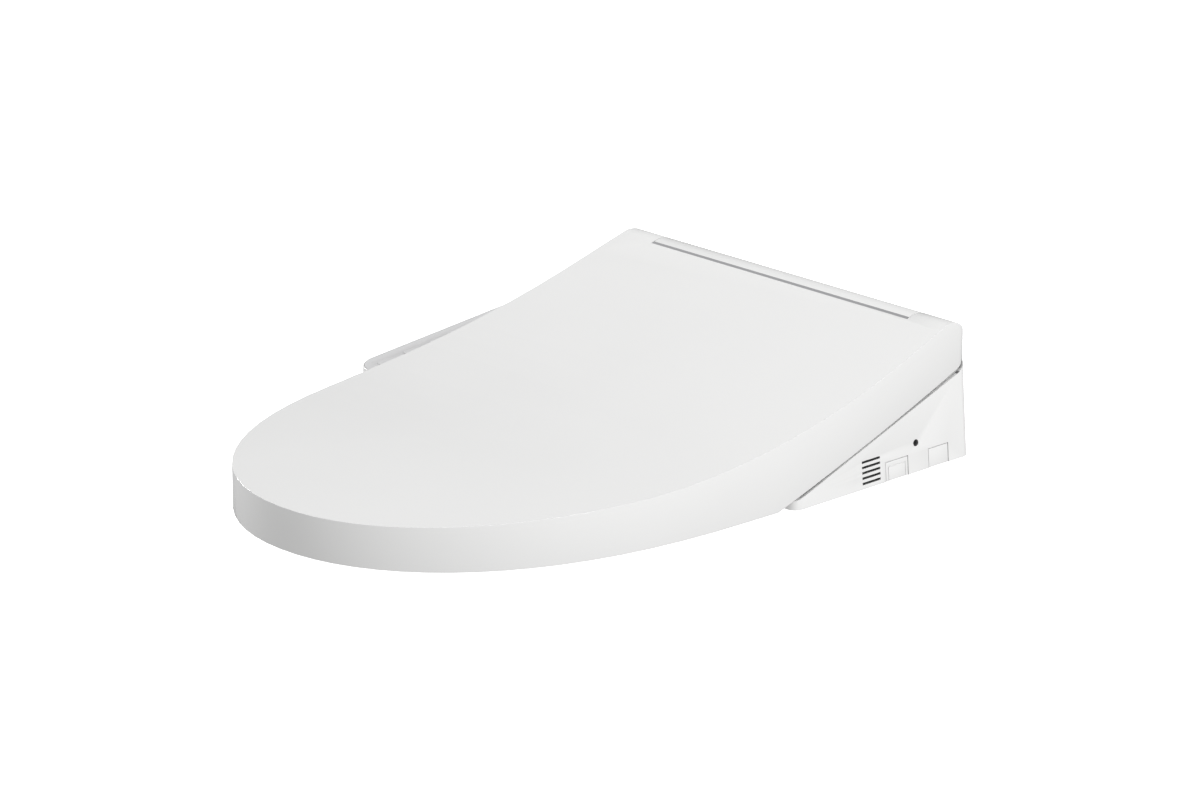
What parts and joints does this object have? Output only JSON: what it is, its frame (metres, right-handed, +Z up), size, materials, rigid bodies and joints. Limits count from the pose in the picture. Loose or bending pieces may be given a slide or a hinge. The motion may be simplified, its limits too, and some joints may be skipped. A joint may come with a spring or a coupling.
{
  "type": "electric bidet seat",
  "caption": "Electric bidet seat with a sloping soft-close lid over a heated ring, a wash unit at the rear and a side control arm.",
  "frame": {"origin": "midway between the two mounting bolts, on the top face of the toilet bowl", "axes": "+X to the right when facing the front, +Y to the rear, +Z up"},
  "size_m": [0.4305, 0.5395, 0.11],
  "materials": {
    "white_gloss": "gloss",
    "white_satin": "satin",
    "grey_panel": "satin",
    "dark_plastic": "matte",
    "steel": "brushed",
    "rubber": "matte",
    "heating_foil": "satin",
    "carbon": "rough",
    "brass": "machined",
    "hose": "satin",
    "circuit_board": "satin",
    "wand_tube": "polished"
  },
  "bodies": {
    "main_unit": {"top_cover": "white_gloss", "base_pan": "white_satin", "side_panel_right": "white_gloss", "side_panel_left": "white_gloss", "rear_cover": "white_gloss", "hinge_bar": "white_gloss", "lid_damper": "dark_plastic", "ring_damper": "dark_plastic", "mounting_plate": "steel", "bolt_slides": "dark_plastic", "base_feet": "rubber", "side_screw": "dark_plastic", "casing_screws": "steel", "fan_housing": "dark_plastic", "fan_motor": "steel", "blower_housing": "dark_plastic", "blower_motor": "steel", "dryer_duct": "grey_panel", "dryer_heater": "heating_foil", "flap_pin": "steel", "heater_tank": "white_satin", "water_inlet": "brass", "solenoid_valve": "dark_plastic", "selector_valve": "grey_panel", "water_hoses": "hose", "control_board": "circuit_board", "board_parts": "dark_plastic", "power_module": "dark_plastic", "cord_gland": "dark_plastic", "wand_cradle": "white_satin", "wand_motors": "steel", "arm_shell": "white_gloss", "arm_panel": "grey_panel", "arm_board": "circuit_board"},
    "ring": {"ring_upper": "white_gloss", "ring_lower": "white_satin", "ring_heater": "heating_foil", "ring_bumpers": "rubber", "ring_arms": "white_satin"},
    "lid": {"lid_shell": "white_gloss", "lid_bumpers": "rubber", "lid_shafts": "steel"},
    "rear_wand": {"rear_wand": "wand_tube", "rear_wand_tip": "white_gloss"},
    "front_wand": {"front_wand": "wand_tube", "front_wand_tip": "white_gloss"},
    "rear_pinion": {"rear_pinion": "white_satin"},
    "front_pinion": {"front_pinion": "white_satin"},
    "dryer_impeller": {"blower_impeller": "grey_panel"},
    "deodoriser_impeller": {"fan_impeller": "grey_panel"},
    "dryer_flap": {"dryer_flap": "white_gloss"},
    "filter_drawer": {"filter_drawer": "white_gloss", "carbon_filter": "carbon"},
    "release_button": {"release_button": "white_gloss", "release_latch": "dark_plastic"},
    "stop_button": {"stop_button": "grey_panel"},
    "rear_wash_button": {"rear_wash_button": "grey_panel"},
    "front_wash_button": {"front_wash_button": "grey_panel"},
    "dryer_button": {"dryer_button": "grey_panel"},
    "power_button": {"power_button": "grey_panel"}
  },
  "joints": [
    {"name": "ring_hinge", "type": "hinge", "parent": "main_unit", "child": "ring", "pos_m": [0, 0.041, 0.0895], "axis": [-1, 0, 0], "range_deg": [0, 100]},
    {"name": "lid_hinge", "type": "hinge", "parent": "ring", "child": "lid", "pos_m": [0, 0.041, 0.0895], "axis": [1, 0, 0], "range_deg": [-100, 0]},
    {"name": "rear_wand_slide", "type": "slide", "parent": "main_unit", "child": "rear_wand", "axis": [0, -0.9848, -0.1736], "range_m": [0, 0.1]},
    {"name": "rear_pinion_spin", "type": "hinge", "parent": "main_unit", "child": "rear_pinion", "pos_m": [0.0264, -0.06742, 0.02086], "axis": [0, -0.1736, 0.9848], "range_deg": [0, 820]},
    {"name": "front_wand_slide", "type": "slide", "parent": "main_unit", "child": "front_wand", "axis": [0, -0.9848, -0.1736], "range_m": [0, 0.1]},
    {"name": "front_pinion_spin", "type": "hinge", "parent": "main_unit", "child": "front_pinion", "pos_m": [-0.0264, -0.06742, 0.02086], "axis": [0, -0.1736, 0.9848], "range_deg": [-820, 0]},
    {"name": "dryer_impeller_spin", "type": "hinge", "parent": "main_unit", "child": "dryer_impeller", "pos_m": [0.067, 0, 0.026], "axis": [0, 0, 1], "continuous": true},
    {"name": "deodoriser_impeller_spin", "type": "hinge", "parent": "main_unit", "child": "deodoriser_impeller", "pos_m": [0.1608, -0.052, 0.016], "axis": [0, 0, 1], "continuous": true},
    {"name": "dryer_flap_hinge", "type": "hinge", "parent": "main_unit", "child": "dryer_flap", "pos_m": [0.067, -0.091, 0.0226], "axis": [-1, 0, 0], "range_deg": [0, 60], "stiffness_Nm_per_rad": 0.002, "springref_deg": -11.46},
    {"name": "filter_drawer_slide", "type": "slide", "parent": "main_unit", "child": "filter_drawer", "axis": [1, 0, 0], "range_m": [0, 0.055]},
    {"name": "release_button_slide", "type": "slide", "parent": "main_unit", "child": "release_button", "axis": [-1, 0, 0], "range_m": [0, 0.004], "stiffness_N_per_m": 500, "springref_m": -0.003},
    {"name": "stop_button_press", "type": "slide", "parent": "main_unit", "child": "stop_button", "axis": [0, 0.1063, -0.9943], "range_m": [0, 0.0012], "stiffness_N_per_m": 600, "springref_m": -0.001},
    {"name": "rear_wash_button_press", "type": "slide", "parent": "main_unit", "child": "rear_wash_button", "axis": [0, 0.1063, -0.9943], "range_m": [0, 0.0012], "stiffness_N_per_m": 600, "springref_m": -0.001},
    {"name": "front_wash_button_press", "type": "slide", "parent": "main_unit", "child": "front_wash_button", "axis": [0, 0.1063, -0.9943], "range_m": [0, 0.0012], "stiffness_N_per_m": 600, "springref_m": -0.001},
    {"name": "dryer_button_press", "type": "slide", "parent": "main_unit", "child": "dryer_button", "axis": [0, 0.1063, -0.9943], "range_m": [0, 0.0012], "stiffness_N_per_m": 600, "springref_m": -0.001},
    {"name": "power_button_press", "type": "slide", "parent": "main_unit", "child": "power_button", "axis": [0, 0.1063, -0.9943], "range_m": [0, 0.0012], "stiffness_N_per_m": 600, "springref_m": -0.001}
  ],
  "couplings": [
    {"joint": "rear_pinion_spin", "follows": "rear_wand_slide", "rad_per_m": 142.86},
    {"joint": "front_pinion_spin", "follows": "front_wand_slide", "rad_per_m": -142.86}
  ]
}
